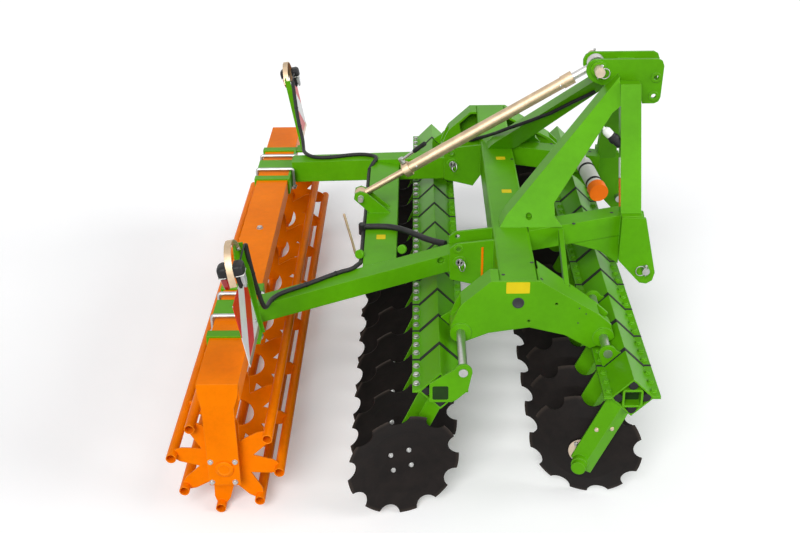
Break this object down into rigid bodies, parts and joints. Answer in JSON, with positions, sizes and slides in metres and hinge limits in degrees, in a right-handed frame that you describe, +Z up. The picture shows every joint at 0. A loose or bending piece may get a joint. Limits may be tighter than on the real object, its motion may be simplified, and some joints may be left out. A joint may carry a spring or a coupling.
{
  "type": "compact disc harrow",
  "caption": "Three-point mounted compact disc harrow with two rows of notched discs on rubber-sprung arms and a cage roller behind.",
  "frame": {"origin": "centre of the footprint, on the floor that the discs and roller stand on", "axes": "+X towards the tractor, +Y to the left of travel, +Z up"},
  "size_m": [2.329, 3.1351, 1.632],
  "materials": {
    "green_paint": "gloss green paint",
    "orange_paint": "gloss orange paint",
    "board_white": "white board with red stripes; white tube",
    "black_plastic": "matt black",
    "clear_lens": "clear lens",
    "red_lens": "red lens",
    "disc_steel": "dark tempered steel",
    "rubber": "matt",
    "bright_steel": "zinc plated",
    "yellow_zinc": "yellow zinc plated"
  },
  "bodies": {
    "frame": {"gang_beam_front": "green_paint", "gang_beam_rear": "green_paint", "sleeve_roofs_front": "green_paint", "sleeve_roofs_rear": "green_paint", "disc_arms_front": "green_paint", "disc_arms_rear": "green_paint", "rubber_cords_front": "rubber", "rubber_cords_rear": "rubber", "guide_rods": "bright_steel", "side_frame_right": "green_paint", "side_frame_left": "green_paint", "crossbeam": "green_paint", "headstock": "green_paint", "lower_link_pins": "bright_steel", "spindle_pin_front": "bright_steel", "roller_pivot_pins": "bright_steel", "canister_cap": "orange_paint", "document_canister": "board_white"},
    "disc_front_01_body": {"disc_front_01": "disc_steel"},
    "disc_front_02_body": {"disc_front_02": "disc_steel"},
    "disc_front_03_body": {"disc_front_03": "disc_steel"},
    "disc_front_04_body": {"disc_front_04": "disc_steel"},
    "disc_front_05_body": {"disc_front_05": "disc_steel"},
    "disc_front_06_body": {"disc_front_06": "disc_steel"},
    "disc_front_07_body": {"disc_front_07": "disc_steel"},
    "disc_front_08_body": {"disc_front_08": "disc_steel"},
    "disc_front_09_body": {"disc_front_09": "disc_steel"},
    "disc_front_10_body": {"disc_front_10": "disc_steel"},
    "disc_front_11_body": {"disc_front_11": "disc_steel"},
    "disc_front_12_body": {"disc_front_12": "disc_steel"},
    "disc_rear_01_body": {"disc_rear_01": "disc_steel"},
    "disc_rear_02_body": {"disc_rear_02": "disc_steel"},
    "disc_rear_03_body": {"disc_rear_03": "disc_steel"},
    "disc_rear_04_body": {"disc_rear_04": "disc_steel"},
    "disc_rear_05_body": {"disc_rear_05": "disc_steel"},
    "disc_rear_06_body": {"disc_rear_06": "disc_steel"},
    "disc_rear_07_body": {"disc_rear_07": "disc_steel"},
    "disc_rear_08_body": {"disc_rear_08": "disc_steel"},
    "disc_rear_09_body": {"disc_rear_09": "disc_steel"},
    "disc_rear_10_body": {"disc_rear_10": "disc_steel"},
    "disc_rear_11_body": {"disc_rear_11": "disc_steel"},
    "disc_rear_12_body": {"disc_rear_12": "disc_steel"},
    "roller_frame": {"roller_arm_right": "green_paint", "roller_arm_left": "green_paint", "roller_beam": "orange_paint", "roller_cross_tube": "green_paint", "clevis_pin": "bright_steel", "beam_clamp_bolts": "bright_steel", "warning_boards": "board_white", "board_posts": "green_paint", "lamp_brackets": "bright_steel", "lamps": "black_plastic", "lamp_lenses_front": "clear_lens", "lamp_lenses_rear": "red_lens", "lamp_cables": "black_plastic"},
    "roller": {"cage_roller": "orange_paint"},
    "spindle_front": {"spindle_front_rod": "yellow_zinc", "spindle_tube": "yellow_zinc", "spindle_lever": "bright_steel"},
    "spindle_rear": {"spindle_rear_rod": "yellow_zinc"}
  },
  "joints": [
    {"name": "disc_front_01_spin", "type": "hinge", "parent": "frame", "child": "disc_front_01_body", "pos_m": [0.691, -1.34, 0.255], "axis": [-0.2924, -0.9563, 0], "continuous": true},
    {"name": "disc_front_02_spin", "type": "hinge", "parent": "frame", "child": "disc_front_02_body", "pos_m": [0.691, -1.09, 0.255], "axis": [-0.2924, -0.9563, 0], "continuous": true},
    {"name": "disc_front_03_spin", "type": "hinge", "parent": "frame", "child": "disc_front_03_body", "pos_m": [0.691, -0.84, 0.255], "axis": [-0.2924, -0.9563, 0], "continuous": true},
    {"name": "disc_front_04_spin", "type": "hinge", "parent": "frame", "child": "disc_front_04_body", "pos_m": [0.691, -0.59, 0.255], "axis": [-0.2924, -0.9563, 0], "continuous": true},
    {"name": "disc_front_05_spin", "type": "hinge", "parent": "frame", "child": "disc_front_05_body", "pos_m": [0.691, -0.34, 0.255], "axis": [-0.2924, -0.9563, 0], "continuous": true},
    {"name": "disc_front_06_spin", "type": "hinge", "parent": "frame", "child": "disc_front_06_body", "pos_m": [0.691, -0.09, 0.255], "axis": [-0.2924, -0.9563, 0], "continuous": true},
    {"name": "disc_front_07_spin", "type": "hinge", "parent": "frame", "child": "disc_front_07_body", "pos_m": [0.691, 0.16, 0.255], "axis": [-0.2924, -0.9563, 0], "continuous": true},
    {"name": "disc_front_08_spin", "type": "hinge", "parent": "frame", "child": "disc_front_08_body", "pos_m": [0.691, 0.41, 0.255], "axis": [-0.2924, -0.9563, 0], "continuous": true},
    {"name": "disc_front_09_spin", "type": "hinge", "parent": "frame", "child": "disc_front_09_body", "pos_m": [0.691, 0.66, 0.255], "axis": [-0.2924, -0.9563, 0], "continuous": true},
    {"name": "disc_front_10_spin", "type": "hinge", "parent": "frame", "child": "disc_front_10_body", "pos_m": [0.691, 0.91, 0.255], "axis": [-0.2924, -0.9563, 0], "continuous": true},
    {"name": "disc_front_11_spin", "type": "hinge", "parent": "frame", "child": "disc_front_11_body", "pos_m": [0.691, 1.16, 0.255], "axis": [-0.2924, -0.9563, 0], "continuous": true},
    {"name": "disc_front_12_spin", "type": "hinge", "parent": "frame", "child": "disc_front_12_body", "pos_m": [0.691, 1.41, 0.255], "axis": [-0.2924, -0.9563, 0], "continuous": true},
    {"name": "disc_rear_01_spin", "type": "hinge", "parent": "frame", "child": "disc_rear_01_body", "pos_m": [-0.121, -1.4946, 0.255], "axis": [-0.2924, 0.9563, 0], "continuous": true},
    {"name": "disc_rear_02_spin", "type": "hinge", "parent": "frame", "child": "disc_rear_02_body", "pos_m": [-0.121, -1.2446, 0.255], "axis": [-0.2924, 0.9563, 0], "continuous": true},
    {"name": "disc_rear_03_spin", "type": "hinge", "parent": "frame", "child": "disc_rear_03_body", "pos_m": [-0.121, -0.9946, 0.255], "axis": [-0.2924, 0.9563, 0], "continuous": true},
    {"name": "disc_rear_04_spin", "type": "hinge", "parent": "frame", "child": "disc_rear_04_body", "pos_m": [-0.121, -0.7446, 0.255], "axis": [-0.2924, 0.9563, 0], "continuous": true},
    {"name": "disc_rear_05_spin", "type": "hinge", "parent": "frame", "child": "disc_rear_05_body", "pos_m": [-0.121, -0.4946, 0.255], "axis": [-0.2924, 0.9563, 0], "continuous": true},
    {"name": "disc_rear_06_spin", "type": "hinge", "parent": "frame", "child": "disc_rear_06_body", "pos_m": [-0.121, -0.2446, 0.255], "axis": [-0.2924, 0.9563, 0], "continuous": true},
    {"name": "disc_rear_07_spin", "type": "hinge", "parent": "frame", "child": "disc_rear_07_body", "pos_m": [-0.121, 0.0054, 0.255], "axis": [-0.2924, 0.9563, 0], "continuous": true},
    {"name": "disc_rear_08_spin", "type": "hinge", "parent": "frame", "child": "disc_rear_08_body", "pos_m": [-0.121, 0.2554, 0.255], "axis": [-0.2924, 0.9563, 0], "continuous": true},
    {"name": "disc_rear_09_spin", "type": "hinge", "parent": "frame", "child": "disc_rear_09_body", "pos_m": [-0.121, 0.5054, 0.255], "axis": [-0.2924, 0.9563, 0], "continuous": true},
    {"name": "disc_rear_10_spin", "type": "hinge", "parent": "frame", "child": "disc_rear_10_body", "pos_m": [-0.121, 0.7554, 0.255], "axis": [-0.2924, 0.9563, 0], "continuous": true},
    {"name": "disc_rear_11_spin", "type": "hinge", "parent": "frame", "child": "disc_rear_11_body", "pos_m": [-0.121, 1.0054, 0.255], "axis": [-0.2924, 0.9563, 0], "continuous": true},
    {"name": "disc_rear_12_spin", "type": "hinge", "parent": "frame", "child": "disc_rear_12_body", "pos_m": [-0.121, 1.2554, 0.255], "axis": [-0.2924, 0.9563, 0], "continuous": true},
    {"name": "roller_depth", "type": "hinge", "parent": "frame", "child": "roller_frame", "pos_m": [0.146, 0, 0.834], "axis": [0, 1, 0], "range_deg": [-3, 8]},
    {"name": "roller_spin", "type": "hinge", "parent": "roller_frame", "child": "roller", "pos_m": [-0.906, 0, 0.25846], "axis": [0, 1, 0], "continuous": true},
    {"name": "spindle_swing", "type": "hinge", "parent": "frame", "child": "spindle_front", "pos_m": [0.84, 0, 1.588], "axis": [0, 1, 0], "range_deg": [-1.5, 3]},
    {"name": "spindle_length", "type": "slide", "parent": "spindle_front", "child": "spindle_rear", "axis": [0.8615, 0, 0.5078], "range_m": [-0.025, 0.05]}
  ],
  "couplings": [
    {"joint": "spindle_swing", "follows": "roller_depth", "ratio": 0.2865},
    {"joint": "spindle_length", "follows": "roller_depth", "m_per_rad": 0.3095}
  ]
}
